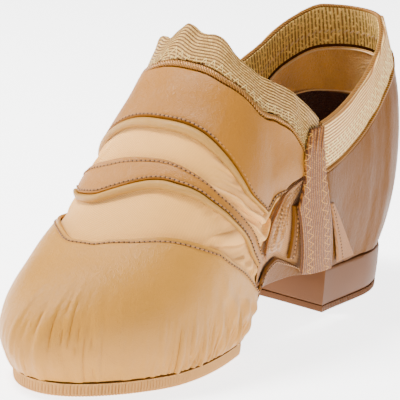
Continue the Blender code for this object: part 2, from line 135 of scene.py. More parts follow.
half_width = smooth_table(HALF_WIDTH)
centre = smooth_table(CENTRE)
ridge_height = smooth_table(RIDGE)
widest_height = smooth_table(WIDEST)
tuck_under = smooth_table(TUCK)
crown_power = smooth_table(CROWN)
rim_height = smooth_table(RIM)
seat_height = smooth_table(((0, HEEL_HEIGHT), (.30, HEEL_HEIGHT), (.36, HEEL_HEIGHT + .0012),
                            (.43, HEEL_HEIGHT + .0035), (.50, HEEL_HEIGHT + .0030),
                            (.545, HEEL_HEIGHT * .58 + SOLE_THICKNESS),
                            (.570, SOLE_THICKNESS + .0036), (.586, SOLE_THICKNESS),
                            (1, SOLE_THICKNESS)))


# ---- the foot form -----------------------------------------------------------
def along(x):
    return x / LENGTH + HEEL_CENTRE


def to_x(fraction):
    return (fraction - HEEL_CENTRE) * LENGTH


def rounded(distance, radius, power):
    """Width factor near an end: 0 at the end, 1 from one radius inward."""
    q = np.clip(distance / radius, 0, 1)
    return np.maximum(1 - (1 - q) ** power, 0) ** (1 / power)


def heel_back(z):
    """How far the back of the heel stands forward of its fullest place."""
    reach = COLLAR_HEIGHT * .43
    return .0025 + np.where(z > reach, 2.9, 3.6) * (z - reach) ** 2


def inside_form(points):
    x, y, z = points[..., 0], points[..., 1], points[..., 2]
    f = along(x)
    seat = seat_height(f)
    wide = widest_height(f)
    top = ridge_height(f) * INSTEP_HEIGHT
    top = wide + (top - wide) * rounded((1 - f) * LENGTH, LENGTH * .118, 2.2)
    low = np.clip((wide - z) / (wide - seat), 0, 1.5)
    front = LENGTH - np.where(z < wide, .007 * low ** 2, 0)
    high = np.clip((z - wide) / np.maximum(top - wide, 1e-6), 0, 1)
    power = crown_power(f)
    upper = np.maximum(1 - high ** power, 0) ** (1 / power)
    lower = 1 - tuck_under(f) * low ** 2.2
    reach = half_width(f) * BALL_WIDTH * np.where(z > wide, upper, lower)
    back = heel_back(z)
    u = f * LENGTH
    reach = reach * rounded(u - back, BALL_WIDTH * .40, 2.1)
    reach = reach * rounded(front - u, BALL_WIDTH * .80, 2.15)
    side = np.abs(y - centre(f) * BALL_WIDTH)
    return (u > back) & (u < front) & (z < top) & (z > seat) & (side < reach)


def cast(origin, direction):
    """Where rays from inside leave the form."""
    direction = direction / np.linalg.norm(direction, axis=-1, keepdims=True)
    near = np.zeros(direction.shape[:-1])
    far = np.full(direction.shape[:-1], LENGTH * 1.2)
    for _ in range(36):
        middle = (near + far) / 2
        hit = inside_form(origin + direction * middle[..., None])
        near = np.where(hit, middle, near)
        far = np.where(hit, far, middle)
    return origin + direction * near[..., None]


def spine(fraction):
    seat = seat_height(fraction)
    rise = np.minimum(.4 * (ridge_height(fraction) * INSTEP_HEIGHT - seat), .23 * INSTEP_HEIGHT)
    return np.stack([to_x(fraction), centre(fraction) * BALL_WIDTH, seat + rise], -1)


def on_section(fraction, angle):
    """Point of the form at one place along it, by angle from the ridge (degrees)."""
    angle = np.radians(angle)
    ray = np.stack([np.zeros_like(angle), np.sin(angle), np.cos(angle)], -1)
    return cast(spine(fraction), ray)


def on_side(fraction, z, side):
    """Point of the form's side at one place along it and one height."""
    origin = np.stack([to_x(fraction), centre(fraction) * BALL_WIDTH, z], -1)
    ray = np.zeros_like(origin)
    ray[..., 1] = side
    return cast(origin, ray)


def edge_at(edge, t):
    """Place and angle of a band's edge; t runs -1 medial to 1 lateral."""
    table, lean = edge
    angle = t * table[-1][0]
    sway = lean * np.sin(np.pi * np.clip(angle / 72, -1, 1))
    return smooth_table(table)(np.abs(angle)) - sway, angle


def band_end(edge, ahead=0.0, above=0.0):
    """Place and rise of a band edge's outer end, with an allowance."""
    place, angle = edge_at(edge, np.array(1.0))
    end = on_section(place, angle)
    seat = seat_height(place)
    rise = (end[2] - seat) / (COLLAR_HEIGHT - seat)
    return float(place) + ahead, float(rise) + above


def band_points(rear, front, columns, rows, rear_shift=0.0, front_shift=0.0):
    """Grid between two band edges; shifts are metres toward the toe, less at the ends."""
    t = np.linspace(-1, 1, columns)[None, :]
    taper = 1 - .8 * np.abs(t) ** 3
    s = np.linspace(0, 1, rows)[:, None]
    rear_f, rear_a = edge_at(rear, t)
    front_f, front_a = edge_at(front, t)
    rear_f = rear_f + taper * rear_shift / LENGTH
    front_f = front_f + taper * front_shift / LENGTH
    return on_section(rear_f + (front_f - rear_f) * s, rear_a + (front_a - rear_a) * s)


def toe_points(columns, rows, top_shift, foot):
    """Grid from the toe line down to the feather edge above the outsole."""
    t = np.linspace(-1, 1, columns)
    top_f, top_a = edge_at(TOE_EDGE, t)
    top = on_section(top_f + top_shift / LENGTH, top_a)
    middle = np.array([to_x(.69), 0.0, SOLE_THICKNESS + .012])
    turn = t * np.radians(128)
    flat = np.stack([np.cos(turn), np.sin(turn), np.zeros_like(turn)], -1)
    low = cast(np.array([middle[0], middle[1], foot]), flat)
    rear_limit = to_x(SOLE_REAR) + .001
    low[:, 0] = np.maximum(low[:, 0], rear_limit)
    low = on_side(along(low[:, 0]), np.full(columns, foot), 1) * (turn > 2)[:, None] \
        + low * (turn <= 2)[:, None]
    a = top - middle
    b = low - middle
    a = a / np.linalg.norm(a, axis=-1, keepdims=True)
    b = b / np.linalg.norm(b, axis=-1, keepdims=True)
    arc = np.arccos(np.clip((a * b).sum(-1), -1, 1))[None, :, None]
    s = np.linspace(0, 1, rows)[:, None, None]
    ray = (np.sin((1 - s) * arc) * a[None] + np.sin(s * arc) * b[None]) / np.sin(arc)
    points = cast(middle, ray)
    points[0] = top
    points[-1] = low
    return points


def heel_points(columns, rows, low, high):
    """Grid round the heel; low and high are fractions of the way up to the rim, or tables."""
    v = np.linspace(-1, 1, columns)[None, :]
    row = np.linspace(0, 1, rows)[:, None]
    low = smooth_table(low)(np.abs(v)) if isinstance(low, tuple) else low
    high = smooth_table(high)(np.abs(v)) if isinstance(high, tuple) else high
    s = low + (high - low) * row
    floor = HEEL_HEIGHT + REST_GAP + .0010
    z = floor + s * (rim_height(np.abs(v)) * COLLAR_HEIGHT - floor)
    place = HEEL_FRONT[0] + (HEEL_FRONT[1] - HEEL_FRONT[0]) * s ** .7
    axis = to_x(HEEL_AXIS)
    front = np.arctan2(half_width(place) * BALL_WIDTH, to_x(place) - axis)
    angle = np.pi + v * (np.pi - front)
    origin = np.stack([np.full_like(z, axis), np.zeros_like(z), z], -1)
    ray = np.stack([np.cos(angle), np.sin(angle), np.zeros_like(z)], -1)
    return cast(origin, ray)


def below(table, by):
    """The same table, lowered."""
    return tuple((at, value - by) for at, value in table)


def side_points(path, side, columns, rows):
    """Grid on the form's side.

    path: rows of (front place, front rise, rear place, rear rise), a rise being the
    way up from the form's seat (0) to the collar (1).
    """
    path = np.array(path, float)
    at = np.linspace(0, 1, rows)
    knots = np.linspace(0, 1, len(path))
    row = [np.interp(at, knots, path[:, i]) for i in range(4)]
    t = np.linspace(0, 1, columns)[None, :]
    f = row[0][:, None] * (1 - t) + row[2][:, None] * t
    rise = row[1][:, None] * (1 - t) + row[3][:, None] * t
    seat = seat_height(f)
    return on_side(f, seat + rise * (COLLAR_HEIGHT - seat), side)


def plan_outline(fraction, z, rear, front, grow, count):
    """Points round the form at one height, grown outward and cut off square."""
    middle = float(centre(np.array(fraction))) * BALL_WIDTH
    origin = np.array([to_x(fraction), middle, z])

    def reach_at(angle):
        ray = np.stack([np.cos(angle), np.sin(angle), np.zeros_like(angle)], -1)
        full = np.linalg.norm(cast(origin, ray) - origin, axis=-1) + grow
        limit = np.where(ray[:, 0] > 0, to_x(front), to_x(rear)) - origin[0]
        cut = limit / np.where(np.abs(ray[:, 0]) < 1e-6, 1e-6, ray[:, 0])
        cut = np.where(cut > 0, cut, 9)
        return ray, full, cut

    fine = np.linspace(0, 2 * np.pi, 1440, endpoint=False)
    ray, full, cut = reach_at(fine)
    corner = fine[(cut < full) != (np.roll(cut, 1) < np.roll(full, 1))]
    angles = []
    for start, end in zip(corner, np.append(corner[1:], corner[0] + 2 * np.pi)):
        middle = reach_at(np.array([(start + end) / 2]))
        pieces = 3 if middle[2][0] < middle[1][0] else count
        angles.append(np.linspace(start, end, pieces, endpoint=False))
    ray, full, cut = reach_at(np.concatenate(angles))
    return (origin + ray * np.minimum(full, cut)[:, None])[:, :2]


def arch_points(rear, front, inset, columns, rows):
    """Grid over the arch, following the form's seat."""
    f = np.linspace(rear, front, rows)[:, None]
    t = np.linspace(-1, 1, columns)[None, :]
    wide = half_width(f) * BALL_WIDTH * (1 - tuck_under(f)) - inset
    y = centre(f) * BALL_WIDTH + t * wide
    return np.stack([to_x(f) + 0 * y, y, seat_height(f) + 0 * y], -1)


def strip(*stations):
    """Path of a strip through stations ((place, rise), width in metres)."""
    rows = []
    for (place, rise), width in stations:
        half = width / LENGTH / 2
        rows.append((place + half, rise, place - half, rise))
    return rows


def side_paths():
    """Paths of the pieces that cross the arch, each a list of rows for side_points."""
    edge = SOLE_REAR - .008
    top = band_end(PIPING_LINE, -.010, .070)
    piping = band_end(PIPING_LINE, -.003, -.014)
    instep = band_end(INSTEP_LOWER, -.006, -.014)
    middle = band_end(MID_UPPER, 0, -.016)
    gusset = [(*top, .420, .540), (*piping, .412, .500), (*instep, .374, .410),
              (edge, middle[1], .360, .302), (edge, .207, .345, .170), (edge, .012, .318, .017)]
    flap = [(piping[0], piping[1] - .003, .456, .440), (instep[0], instep[1] - .003, .503, .345),
            (edge - .004, middle[1] - .006, .498, .225), (edge - .018, .260, .498, .165)]
    trim = [(edge - .004, .225, .412, .050), (edge - .004, .014, .390, .012)]
    rear = STRAP_WIDTH / LENGTH / 2
    strap = [((.440, .560), STRAP_NECK * 1.12), ((.433, .445), STRAP_NECK * 1.30),
             ((.429, .345), STRAP_WIDTH), ((.392, .190), STRAP_WIDTH), ((.352, .024), STRAP_WIDTH)]
    return {"mesh_gusset": gusset, "mesh_flap": flap, "arch_trim": trim,
            "strap_binding": strip(((.478, .362), .0036), ((.446, .112), .0050)),
            "rear_tape": strip(((.4183 - rear, .335), .0030), ((.2993 - rear, .040), .0140)),
            "side_strap": strip(*strap)}


# ---- shell meshes --------------------------------------------------------------
def fade(x, low, high):
    """0 below low, 1 above high, smooth between."""
    q = np.clip((x - low) / (high - low), 0, 1)
    return q * q * (3 - 2 * q)


def lengths(points, axis):
    """Distance along one direction of a grid, in metres."""
    step = np.linalg.norm(np.diff(points, axis=axis), axis=-1)
    total = np.cumsum(step, axis=axis)
    zero = np.zeros_like(np.take(total, [0], axis=axis))
    return np.concatenate([zero, total], axis=axis)


def safe_normals(points):
    """Normals of a grid; where neighbours coincide, the row above lends its own."""
    rows = np.gradient(points, axis=0)
    columns = np.gradient(points, axis=1)
    normal = np.cross(columns, rows)
    size = np.linalg.norm(normal, axis=-1, keepdims=True)
    normal = normal / np.maximum(size, 1e-15)
    for k in range(1, len(normal)):
        normal[k] = np.where(size[k] < 1e-13, normal[k - 1], normal[k])
    return normal


def outward_grid(points, outward=None):
    """The grid with its normals outward; True if its columns were reversed."""
    middle = points.mean(axis=(0, 1))
    if outward is None:
        outward = points - np.array([middle[0], 0.0, min(middle[2], .04)])
    normal = safe_normals(points)
    if (outward * normal).sum() < 0:
        return points[:, ::-1], safe_normals(points[:, ::-1]), True
    return points, normal, False


def link(name, data):
    """A new object in the scene."""
    obj = bpy.data.objects.new(name, data)
    bpy.context.scene.collection.objects.link(obj)
    return obj


def mesh_object(name, verts, faces, uv, material, sharp=50):
    mesh = bpy.data.meshes.new(name)
    mesh.from_pydata([tuple(v) for v in verts], [], [tuple(f) for f in faces])
    if uv is not None:
        layer = mesh.uv_layers.new(name="flat")
        index = np.zeros(len(mesh.loops), int)
        mesh.loops.foreach_get("vertex_index", index)
        layer.data.foreach_set("uv", uv[index].astype(np.float32).ravel())
    mesh.validate()
    mesh.shade_smooth()
    mesh.set_sharp_from_angle(angle=np.radians(sharp))
    mesh.materials.append(material)
    return link(name, mesh)


def shell(name, points, layer, thickness, material, relief=None, outward=None, soft=.0006,
          upright=False):
    """A panel: its outer side carries the relief and rounds over at its edges."""
    rows, columns = points.shape[:2]
    height = np.zeros((rows, columns)) if relief is None else relief
    points, normal, turned = outward_grid(points, outward)
    if turned:
        height = height[:, ::-1]
    across = lengths(points, 1)
    down = lengths(points, 0)
    edge = np.minimum(np.minimum(across, across[:, -1:] - across),
                      np.minimum(down, down[-1:] - down))
    round_off = np.sqrt(np.clip(1 - (1 - np.clip(edge / soft, 0, 1)) ** 2, 0, 1))
    outer = points + normal * (layer + thickness * (.35 + .65 * round_off)
                               + height * round_off)[..., None]
    inner = points + normal * (layer + height * round_off)[..., None]
    count = rows * columns
    index = np.arange(count).reshape(rows, columns)
    quad = np.stack([index[:-1, :-1], index[:-1, 1:], index[1:, 1:], index[1:, :-1]], -1)
    quad = quad.reshape(-1, 4)
    rim = np.concatenate([index[0], index[1:, -1], index[-1, -2::-1], index[-2:0:-1, 0]])
    following = np.roll(rim, -1)
    wall = np.stack([rim, rim + count, following + count, following], -1)
    facing = np.cross(outer[0, 1] - outer[0, 0], outer[1, 0] - outer[0, 0])
    if facing @ normal[0, 0] > 0:
        faces = np.concatenate([quad, quad[:, ::-1] + count, wall])
    else:
        faces = np.concatenate([quad[:, ::-1], quad + count, wall[:, ::-1]])
    centre_line = across - across[:, -1:] / 2
    pair = [down, centre_line] if upright else [centre_line, down]
    uv = np.stack(pair, -1).reshape(-1, 2)
    return mesh_object(name, np.concatenate([outer.reshape(-1, 3), inner.reshape(-1, 3)]),
                       faces, np.concatenate([uv, uv]), material)


def ring_faces(count, around):
    """Faces of a stack of rings, closed at both ends."""
    index = np.arange(count * around).reshape(count, around)
    after = np.roll(index, -1, axis=1)
    quads = np.stack([index[:-1], after[:-1], after[1:], index[1:]], -1).reshape(-1, 4)
    return [*map(tuple, quads), tuple(index[0][::-1]), tuple(index[-1])]


def thread(name, path, normal, material, pitch=.0018, size=.00030, slant=12, lift=.0001,
           long=.0013, phase=0.0):
    """A row of stitches: short rounded bars laid slanting along a path."""
    place = lengths(path[None], 1)[0]
    count = max(int(place[-1] / pitch), 2)
    at = (np.arange(count) + .5 + phase) * place[-1] / count
    spots = np.stack([np.interp(at, place, path[:, k]) for k in range(3)], -1)
    up = np.stack([np.interp(at, place, normal[:, k]) for k in range(3)], -1)
    up = up / np.linalg.norm(up, axis=-1, keepdims=True)
    run = np.gradient(spots, axis=0)
    run = run / np.linalg.norm(run, axis=-1, keepdims=True)
    side = np.cross(up, run)
    lean = np.radians(slant)
    direct = run * np.cos(lean) + side * np.sin(lean)
    cross = np.cross(up, direct)
    rings, sides = 6, 8
    bar = ring_faces(rings, sides)
    turn = np.linspace(0, 2 * np.pi, sides, endpoint=False)
    along_bar = np.linspace(-1, 1, rings)
    verts, faces = [], []
    for spot, u, d, c in zip(spots, up, direct, cross):
        base = len(verts)
        for q in along_bar:
            girth = size * np.sqrt(max(1 - q ** 4, .05))
            sag = lift - size * .9 * q * q
            for w in turn:
                verts.append(spot + d * q * long / 2 + c * np.cos(w) * girth
                             + u * (np.sin(w) * girth * .8 + sag))
        faces.extend(tuple(base + k for k in face) for face in bar)
    return mesh_object(name, np.array(verts), faces, None, material, 80)


# ---- materials -------------------------------------------------------------------
class Nodes:
    """Short names for the node types used below."""

    def __init__(self, name):
        self.material = bpy.data.materials.new(name)
        self.material.use_nodes = True
        self.tree = self.material.node_tree
        self.shader = self.tree.nodes["Principled BSDF"]
        self.output = self.tree.nodes["Material Output"]

    def make(self, kind, **values):
        node = self.tree.nodes.new(kind)
        for key, value in values.items():
            if hasattr(node, key):
                setattr(node, key, value)
            else:
                node.inputs[key.replace("_", " ")].default_value = value
        return node

    def join(self, out, into):
        self.tree.links.new(out, into)

    def put(self, socket, value):
        if isinstance(value, (int, float)):
            socket.default_value = value
        else:
            self.join(value, socket)

    def math(self, operation, a, b=0.0):
        node = self.make("ShaderNodeMath", operation=operation)
        self.put(node.inputs[0], a)
        self.put(node.inputs[1], b)
        return node.outputs[0]

    def plus(self, a, b):
        return self.math("ADD", a, b)

    def minus(self, a, b):
        return self.math("SUBTRACT", a, b)

    def times(self, a, b):
        return self.math("MULTIPLY", a, b)

    def place(self):
        return self.make("ShaderNodeTexCoord").outputs["Object"]

    def flat(self):
        """The panel's own two directions in metres: along, across."""
        parts = self.make("ShaderNodeSeparateXYZ")
        self.join(self.make("ShaderNodeUVMap", uv_map="flat").outputs[0], parts.inputs[0])
        return parts.outputs[0], parts.outputs[1]

    def noise(self, scale, detail=3.0, rough=.5, stretch=None):
        node = self.make("ShaderNodeTexNoise", Scale=scale, Detail=detail, Roughness=rough)
        source = self.place()
        if stretch is not None:
            mapping = self.make("ShaderNodeMapping", Scale=stretch)
            self.join(source, mapping.inputs[0])
            source = mapping.outputs[0]
        self.join(source, node.inputs["Vector"])
        return node.outputs[0]

    def cells(self, scale):
        node = self.make("ShaderNodeTexVoronoi", feature="DISTANCE_TO_EDGE", Scale=scale)
        self.join(self.place(), node.inputs["Vector"])
        return node.outputs["Distance"]

    def range(self, value, low, high, to_low=0.0, to_high=1.0):
        node = self.make("ShaderNodeMapRange", From_Min=low, From_Max=high, To_Min=to_low,
                         To_Max=to_high)
        self.put(node.inputs["Value"], value)
        return node.outputs[0]

    def mix(self, factor, a, b):
        node = self.make("ShaderNodeMix", data_type="RGBA")
        self.put(node.inputs["Factor"], factor)
        for socket, value in ((node.inputs[6], a), (node.inputs[7], b)):
            if isinstance(value, tuple):
                socket.default_value = (*value, 1.0)
            else:
                self.join(value, socket)
        return node.outputs[2]

    def wave(self, value, pitch):
        """A rounded wave from 0 to 1 with this pitch in metres."""
        turn = self.times(value, 2 * np.pi / pitch)
        return self.times(self.plus(self.math("SINE", turn), 1.0), .5)

    def zigzag(self, value, pitch):
        """A triangle wave from 0 to 1."""
        step = self.math("FRACT", self.math("DIVIDE", value, pitch))
        return self.math("ABSOLUTE", self.minus(self.times(step, 2.0), 1.0))

    def finish(self, colour, rough, height=None, depth=.0002, metal=0.0, sheen=0.0, shine=.25):
        self.shader.inputs["Specular IOR Level"].default_value = shine
        if isinstance(colour, tuple):
            self.shader.inputs["Base Color"].default_value = (*colour, 1.0)
        else:
            self.join(colour, self.shader.inputs["Base Color"])
        self.put(self.shader.inputs["Roughness"], rough)
        self.put(self.shader.inputs["Metallic"], metal)
        self.shader.inputs["Sheen Weight"].default_value = sheen
        if height is not None:
            bump = self.make("ShaderNodeBump", Strength=1.0, Distance=depth)
            self.join(height, bump.inputs["Height"])
            self.join(bump.outputs[0], self.shader.inputs["Normal"])
        return self.material


def srgb(r, g, b):
    """Linear colour from display values 0 to 255."""
    c = np.array([r, g, b]) / 255
    return tuple(float(x) for x in np.where(c < .04045, c / 12.92, ((c + .055) / 1.055) ** 2.4))


def darker(colour, by):
    return tuple(c * by for c in colour)


def leather(name, colour, rough=.42, worn=.10, shine=.22):
    """Grained leather, paler and darker in blotches, with pores and fine creases."""
    n = Nodes(name)
    blotch = n.range(n.noise(28, 4), .35, .65)
    fine = n.range(n.noise(900, 2), .3, .7)
    tone = n.mix(blotch, darker(colour, 1 - worn), darker(colour, 1 + worn * .6))
    tone = n.mix(n.times(fine, .12), tone, darker(colour, .72))
    pores = n.range(n.cells(1500), 0, .25)
    crease = n.range(n.noise(420, 4, .6, (1, 1, .45)), .38, .62)
    height = n.plus(n.times(pores, .55), crease)
    polish = n.range(n.noise(60, 3), .3, .7, rough - .06, rough + .08)
    return n.finish(tone, polish, height, .00009, shine=shine)


def twill(name, colour):
    """Stretch cloth with a fine slanting line."""
    n = Nodes(name)
    x, y = n.flat()
    line = n.wave(n.plus(x, n.times(y, 1.25)), .00085)
    cross = n.wave(n.minus(x, y), .00042)
    height = n.plus(line, n.times(cross, .5))
    tone = n.mix(line, darker(colour, .80), darker(colour, 1.05))
    tone = n.mix(n.times(n.noise(700, 2), .25), tone, darker(colour, .75))
    return n.finish(tone, .82, height, .00016, sheen=.25)


def elastic(name, base, pale, dark, lines, pitch=.0034):
    """Ribbed webbing with zigzag threads running along it at the given distances across."""
    n = Nodes(name)
    x, y = n.flat()
    ribs = n.wave(y, .0013)
    picks = n.wave(x, .0007)
    uneven = n.times(n.minus(n.noise(160, 2), .5), .0016)
    lean = n.times(n.minus(n.zigzag(n.plus(x, uneven), pitch), .5),
                  .0040)
    thread_line = 0.0
    for line in lines:
        away = n.math("ABSOLUTE", n.minus(n.minus(y, line), lean))
        thread_line = n.math("MAXIMUM", thread_line, n.range(away, .00022, .00050, 1.0, 0.0))
    height = n.plus(ribs, n.times(thread_line, 1.1))
    height = n.plus(height, n.times(picks, .28))
    painted_glint = n.range(n.noise(1500, 2, .7), .45, .62)
    # painted shade: the dark colour fills the rib hollows
    tone = n.mix(n.range(ribs, .05, .75), dark, base)
    # painted highlight: pale glints on the rib crests
    tone = n.mix(n.times(painted_glint, n.times(ribs, .55)), tone, pale)
    tone = n.mix(n.times(thread_line, .85), tone, pale)
    return n.finish(tone, .55, height, .00036, metal=.10)


def net(name, colour):
    """Sheer mesh: threads on two slants, open between them."""
    n = Nodes(name)
    x, y = n.flat()
    holes = []
    for sign in (1, -1):
        lean = n.plus(x, n.times(y, sign))
        holes.append(n.math("ABSOLUTE", n.minus(n.math("MULTIPLY",
                     n.math("FRACT", n.math("DIVIDE", lean, .0015)), 2.0), 1.0)))
    nearest = n.math("MAXIMUM", holes[0], holes[1])
    solid = n.range(nearest, .42, .60)
    n.finish(colour, .7, nearest, .0002, sheen=.3)
    clear = n.make("ShaderNodeBsdfTransparent")
    mixed = n.make("ShaderNodeMixShader")
    n.join(solid, mixed.inputs[0])
    n.join(clear.outputs[0], mixed.inputs[1])
    n.join(n.shader.outputs[0], mixed.inputs[2])
    n.join(mixed.outputs[0], n.output.inputs[0])
    return n.material


def plain_weave(name, colour):
    n = Nodes(name)
    pitch = .0008
    x, y = n.flat()
    over = n.times(n.wave(x, pitch), n.wave(y, pitch))
    tone = n.mix(over, darker(colour, .78), darker(colour, 1.08))
    tone = n.mix(n.times(n.noise(500, 3), .3), tone, darker(colour, .8))
    return n.finish(tone, .85, over, .0002, sheen=.2)


def ribbed(name, low, high):
    """Gold lining with ribs standing up from its lower edge."""
    n = Nodes(name)
    x, y = n.flat()
    ribs = n.wave(x, .0016)
    # painted shade: the darker first colour fills the rib hollows
    tone = n.mix(ribs, low, high)
    tone = n.mix(n.range(n.noise(900, 2), .5, .7), tone, darker(high, 1.25))
    height = n.plus(ribs, n.times(n.wave(y, .0006), .3))
    return n.finish(tone, .45, height, .0004, metal=.25)


def suede(name, colour, shade):
    """Napped leather, painted dark as shade below the band that shows at the mouth."""
    n = Nodes(name)
    nap = n.noise(1300, 3, .7)
    pits = n.range(n.cells(800), 0, .3)
    tone = n.mix(n.range(n.noise(90, 3), .3, .7), darker(colour, .85), darker(colour, 1.15))
    tone = n.mix(n.times(nap, .35), tone, darker(colour, .6))
    # painted shade: 12.5 to 14 mm up from its lower edge and below, the grip turns to the shade
    # colour of the mouth's inside
    tone = n.mix(n.range(n.flat()[1], .0125, .0140), shade, tone)
    return n.finish(tone, .9, n.plus(nap, pits), .00022, sheen=.35)


def rubber(name, colour, rough=.55):
    n = Nodes(name)
    tone = n.mix(n.range(n.noise(45, 4), .3, .7), darker(colour, .90), darker(colour, 1.06))
    return n.finish(tone, rough, n.noise(1400, 2), .00005)


def cord_gold(name, colour):
    n = Nodes(name)
    x, y = n.flat()
    twist = n.wave(n.plus(x, n.times(y, .8)), .0011)
    # painted shade in the twist grooves and painted highlight on the strand crests
    tone = n.mix(twist, darker(colour, .55), darker(colour, 1.25))
    return n.finish(tone, .38, twist, .0003, metal=.35)


def yarn(name, colour, rough=.6):
    n = Nodes(name)
    tone = n.mix(n.noise(900, 2), darker(colour, .8), darker(colour, 1.15))
    return n.finish(tone, rough, n.noise(2500, 2), .0001, sheen=.2)


TOE = leather("toe_leather", srgb(172, 118, 38))
BAND = leather("band_leather", srgb(154, 99, 28), worn=.07)
PANEL = leather("panel_leather", srgb(147, 93, 18), worn=.07)
QUARTER = leather("quarter_leather", srgb(98, 57, 6), worn=.07, shine=.06)
LIPS = leather("lip_leather", srgb(162, 117, 50), .38)
TWILL = twill("stretch_twill", srgb(249, 179, 83))
# each elastic's dark colour is painted shade for its rib hollows; its pale colour serves both the
# real pale threads and painted glints
ELASTIC_GOLD = elastic("gold_elastic", srgb(179, 132, 62), srgb(237, 203, 123), srgb(90, 55, 15),
                       (.0125, .0165, .0205))
ELASTIC_BACK = elastic("collar_elastic_yarn", srgb(228, 172, 100), srgb(249, 240, 163),
                       srgb(150, 96, 42), (.0030, .0075))
STRAP = elastic("strap_elastic", srgb(124, 66, 8), srgb(208, 146, 58), srgb(74, 36, 3),
                (-.0062, .0062), .0042)
GOLD = cord_gold("gold_cord", srgb(150, 100, 40))
NET = net("mesh_net", srgb(166, 112, 52))
BACKING = plain_weave("mesh_backing", srgb(172, 112, 42))
TAPE = plain_weave("cotton_tape", srgb(150, 94, 34))
# the ribbed lining's first colour is painted shade for the rib hollows
RIBBED = ribbed("gold_ribbed_lining", srgb(138, 95, 33), srgb(249, 206, 115))
# the suede's second colour is painted shade for the inside of the mouth
SUEDE = suede("suede_grip", srgb(228, 168, 88), srgb(60, 26, 8))
# lining colour: a brown cloth, darkened as painted shade for the dark inside of the shoe
LINING = plain_weave("lining_cloth", srgb(84, 50, 26))
RUBBER = rubber("heel_rubber", srgb(94, 52, 9))
TREAD = rubber("tread_rubber", srgb(185, 135, 71), .62)
BOARD = leather("leather_board", srgb(120, 84, 54), .8)
PALE_YARN = yarn("pale_yarn", srgb(226, 184, 128))
STITCH = yarn("stitch_yarn", srgb(158, 106, 52))
# painted shade: dark colour for the shadowed needle holes
HOLE_SHADE = yarn("needle_hole_shade", srgb(58, 30, 12), .9)


# ---- putting pieces on their bodies -------------------------------------------------
FRONT = "forefoot_unit"
REAR = "heel_unit"


def put(obj, body, slot, *nodes):
    if body == "both":
        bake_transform(obj)
    else:
        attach(obj, body)
    if nodes:
        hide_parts(*nodes)
    return obj


def cover(body, slot, node, *how, **options):
    """A shell on this body that stands for one node."""
    put(shell(*how, **options), body, slot, node)


def folds(shape, parts, seed):
    """A sum of slanting waves: parts are (size, waves along, waves across)."""
    r = np.random.default_rng(seed)
    t = np.linspace(-1, 1, shape[1])[None, :]
    s = np.linspace(0, 1, shape[0])[:, None]
    total = np.zeros(shape)
    for size, waves_t, waves_s in parts:
        phase = r.uniform(0, 2 * np.pi)
        drift = .6 * np.sin(2.3 * t * np.pi + phase) + .5 * np.sin(3.1 * s + 2 * phase)
        total = total + size * np.sin(np.pi * (waves_t * t + waves_s * s) + phase + drift)
    return total


def grids(shape):
    t = np.linspace(-1, 1, shape[1])[None, :] + np.zeros(shape)
    s = np.linspace(0, 1, shape[0])[:, None] + np.zeros(shape)
    return t, s


def stitch(name, points, row, layer, body, slot, **options):
    """Stitches along one row of a panel's grid, with dark bars between them as painted shade in the
    needle holes.
    """
    points, normal, _ = outward_grid(points)
    path, up = points[row] + normal[row] * layer, normal[row]
    put(thread(name, path, up, STITCH, **options), body, slot)
    # painted shade: short dark bars stand for the shadow in the needle holes
    options.update(size=.00034, long=.0008, lift=0, slant=0, phase=.5)
    put(thread(name + "_hole_shade", path, up, HOLE_SHADE, **options), body, slot)


def groove(points, row_distance, width=.0009, depth=.00018):
    """Pressed-in line at this distance in metres from the first row (negative: last row)."""
    down = lengths(points, 0)
    if row_distance < 0:
        down = down[-1:] - down
    gap = np.abs(down - abs(row_distance))
    return -depth * np.exp(-(gap / width) ** 2)


def row_at(points, distance):
    """The row nearest this distance in metres from the first row, at the middle column."""
    down = lengths(points, 0)[:, points.shape[1] // 2]
    if distance < 0:
        return int(np.abs(down[-1] + distance - down).argmin())
    return int(np.abs(distance - down).argmin())


def tube(name, path, radius, material):
    """A round cord along a path, with a flat map along its length."""
    sides = 10
    run = np.gradient(path, axis=0)
    run = run / np.linalg.norm(run, axis=-1, keepdims=True)
    side = np.cross(run, [0, 0, 1.0])
    side = side / np.linalg.norm(side, axis=-1, keepdims=True)
    up = np.cross(side, run)
    turn = np.linspace(0, 2 * np.pi, sides, endpoint=False)
    ring = np.cos(turn)[None, :, None] * side[:, None] + np.sin(turn)[None, :, None] * up[:, None]
    verts = (path[:, None] + ring * radius).reshape(-1, 3)
    faces = [face[::-1] for face in ring_faces(len(path), sides)]
    place = lengths(path[None], 1)[0]
    uv = np.stack([np.repeat(place, sides), np.tile(turn * radius, len(path))], -1)
    return mesh_object(name, verts, faces, uv, material, 70)


def prism(name, outline, levels, material, wave=None):
    """Stacked outlines; each level is (height, inset, depth of the ribs there)."""
    middle = outline.mean(axis=0)
    spread = outline - middle
    reach = np.linalg.norm(spread, axis=-1, keepdims=True)
    place = np.concatenate([[0], np.cumsum(np.linalg.norm(np.diff(outline, axis=0), axis=-1))])
    rib = np.zeros(len(outline))
    if wave is not None:
        turns = np.round(place[-1] / wave)
        rib = np.abs(np.sin(np.pi * place / place[-1] * turns)) ** .7
    count = len(outline)
    verts = []
    for z, inset, ribbed_by in levels:
        ring = middle + spread * (reach - inset - (ribbed_by * (1 - rib))[:, None]) / reach
        verts.append(np.column_stack([ring, np.full(count, z)]))
    verts = np.concatenate(verts)
    faces = ring_faces(len(levels), count)
    uv = np.column_stack([np.tile(place, len(levels)), verts[:, 2]])
    return mesh_object(name, verts, faces, uv, material, 40)


# ---- front unit ------------------------------------------------------------------------
WIDE = 221                  # columns of a band's grid


